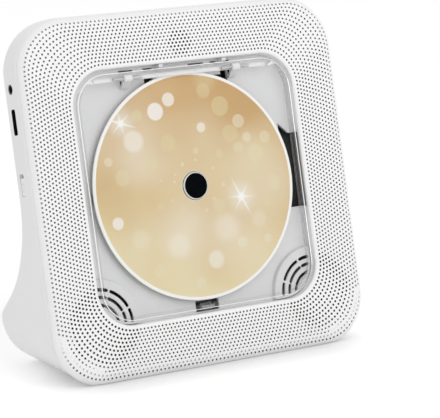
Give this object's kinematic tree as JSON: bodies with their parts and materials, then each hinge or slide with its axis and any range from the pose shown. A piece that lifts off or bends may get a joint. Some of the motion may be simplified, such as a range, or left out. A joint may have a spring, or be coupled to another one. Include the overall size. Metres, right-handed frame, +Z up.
{
  "type": "wall mounted disc player",
  "caption": "Square compact disc player on a flared foot, with a perforated front, clear hinged lid over the disc and a hanging back.",
  "frame": {"origin": "on the ground under the middle of the case", "axes": "+Z up, front towards -Y, +X to the right seen from the front"},
  "size_m": [0.19, 0.067, 0.1839],
  "materials": {
    "white_shell": "glossy white moulded shell",
    "deck_white": "satin pale grey-white",
    "clear_plastic": "clear polished acrylic",
    "black_plastic": "satin black",
    "gear_white": "natural acetal",
    "disc_print": "glossy printed disc",
    "black_rubber": "matt",
    "grey_rubber": "matt",
    "plain_steel": "zinc plated",
    "black_screw": "black oxide",
    "polished_steel": "bright",
    "speaker_steel": "black lacquer",
    "magnet": "dull",
    "cone_paper": "black pulp",
    "lens_glass": "coated",
    "circuit_board": "green solder mask",
    "flex_film": "polyimide film",
    "dark_window": "dark infrared moulding"
  },
  "bodies": {
    "casing": {"front_cover": "white_shell", "rear_shell": "white_shell", "case_screws": "black_screw", "rubber_feet": "grey_rubber", "hanger_pads": "white_shell", "hanger_plates": "plain_steel", "small_screws": "plain_steel", "deck": "deck_white", "hinge_brackets": "clear_plastic", "catch_magnet": "magnet", "catch_housing": "black_plastic", "lid_sensor": "black_plastic", "finger_cup_side": "black_plastic", "finger_cup_top": "black_plastic", "spindle_motor": "plain_steel", "mech_chassis": "plain_steel", "mech_dampers": "black_rubber", "damper_screws": "plain_steel", "guide_rod_main": "polished_steel", "guide_rod_side": "polished_steel", "sled_motor": "plain_steel", "speaker_frame_left": "speaker_steel", "speaker_frame_right": "speaker_steel", "speaker_magnet_left": "magnet", "speaker_magnet_right": "magnet", "speaker_surround_left": "black_rubber", "speaker_surround_right": "black_rubber", "side_board": "circuit_board", "headphone_jack": "black_plastic", "usb_socket": "polished_steel", "switch_body": "black_plastic", "button_board": "circuit_board", "tact_switches": "black_plastic", "main_board": "circuit_board", "board_chips": "black_plastic", "power_inlet": "polished_steel", "flex_cable": "flex_film", "receiver_board": "circuit_board", "ir_receiver": "dark_window"},
    "lid": {"lid": "clear_plastic", "hinge_pins": "plain_steel", "lid_keeper": "plain_steel"},
    "spindle": {"disc": "disc_print", "turntable": "black_plastic", "turntable_pad": "black_rubber", "hub_balls": "polished_steel", "spindle_shaft": "polished_steel"},
    "sled": {"pickup_sled": "black_plastic", "pickup_lens": "lens_glass", "sled_rack": "gear_white"},
    "sled_gear": {"sled_gear": "gear_white"},
    "sled_pinion": {"sled_pinion": "gear_white"},
    "power_switch": {"power_switch": "white_shell"},
    "button_volume_down": {"button_volume_down": "white_shell"},
    "button_previous": {"button_previous": "white_shell"},
    "button_play": {"button_play": "white_shell"},
    "button_next": {"button_next": "white_shell"},
    "button_volume_up": {"button_volume_up": "white_shell"},
    "cone_left": {"speaker_cone_left": "cone_paper"},
    "cone_right": {"speaker_cone_right": "cone_paper"}
  },
  "joints": [
    {"name": "lid_hinge", "type": "hinge", "parent": "casing", "child": "lid", "pos_m": [0, -0.00103, 0.15072], "axis": [-1, 0, 0], "range_deg": [0, 88]},
    {"name": "spindle_spin", "type": "hinge", "parent": "casing", "child": "spindle", "pos_m": [0, -0.00757, 0.09107], "axis": [0, -0.9781, 0.2079], "continuous": true},
    {"name": "sled_slide", "type": "slide", "parent": "casing", "child": "sled", "axis": [-1, 0, 0], "range_m": [0, 0.032]},
    {"name": "sled_gear_spin", "type": "hinge", "parent": "casing", "child": "sled_gear", "pos_m": [-0.03, -0.00355, 0.06671], "axis": [0, -0.9781, 0.2079], "range_deg": [0, 230]},
    {"name": "sled_pinion_spin", "type": "hinge", "parent": "casing", "child": "sled_pinion", "pos_m": [-0.02164, -0.00562, 0.05696], "axis": [0, -0.9781, 0.2079], "range_deg": [-765, 0]},
    {"name": "power_switch_slide", "type": "slide", "parent": "casing", "child": "power_switch", "axis": [0, 0.2079, 0.9781], "range_m": [0, 0.002]},
    {"name": "button_volume_down_press", "type": "slide", "parent": "casing", "child": "button_volume_down", "axis": [0, -0.2079, -0.9781], "range_m": [0, 0.0005], "stiffness_N_per_m": 1500, "springref_m": -0.0002},
    {"name": "button_previous_press", "type": "slide", "parent": "casing", "child": "button_previous", "axis": [0, -0.2079, -0.9781], "range_m": [0, 0.0005], "stiffness_N_per_m": 1500, "springref_m": -0.0002},
    {"name": "button_play_press", "type": "slide", "parent": "casing", "child": "button_play", "axis": [0, -0.2079, -0.9781], "range_m": [0, 0.0005], "stiffness_N_per_m": 1500, "springref_m": -0.0002},
    {"name": "button_next_press", "type": "slide", "parent": "casing", "child": "button_next", "axis": [0, -0.2079, -0.9781], "range_m": [0, 0.0005], "stiffness_N_per_m": 1500, "springref_m": -0.0002},
    {"name": "button_volume_up_press", "type": "slide", "parent": "casing", "child": "button_volume_up", "axis": [0, -0.2079, -0.9781], "range_m": [0, 0.0005], "stiffness_N_per_m": 1500, "springref_m": -0.0002},
    {"name": "cone_left_travel", "type": "slide", "parent": "casing", "child": "cone_left", "axis": [0, -0.9781, 0.2079], "range_m": [-0.0006, 0.0006], "stiffness_N_per_m": 2400},
    {"name": "cone_right_travel", "type": "slide", "parent": "casing", "child": "cone_right", "axis": [0, -0.9781, 0.2079], "range_m": [-0.0006, 0.0006], "stiffness_N_per_m": 2400}
  ],
  "couplings": [
    {"joint": "sled_gear_spin", "follows": "sled_slide", "rad_per_m": 125},
    {"joint": "sled_pinion_spin", "follows": "sled_slide", "rad_per_m": -416.67}
  ]
}
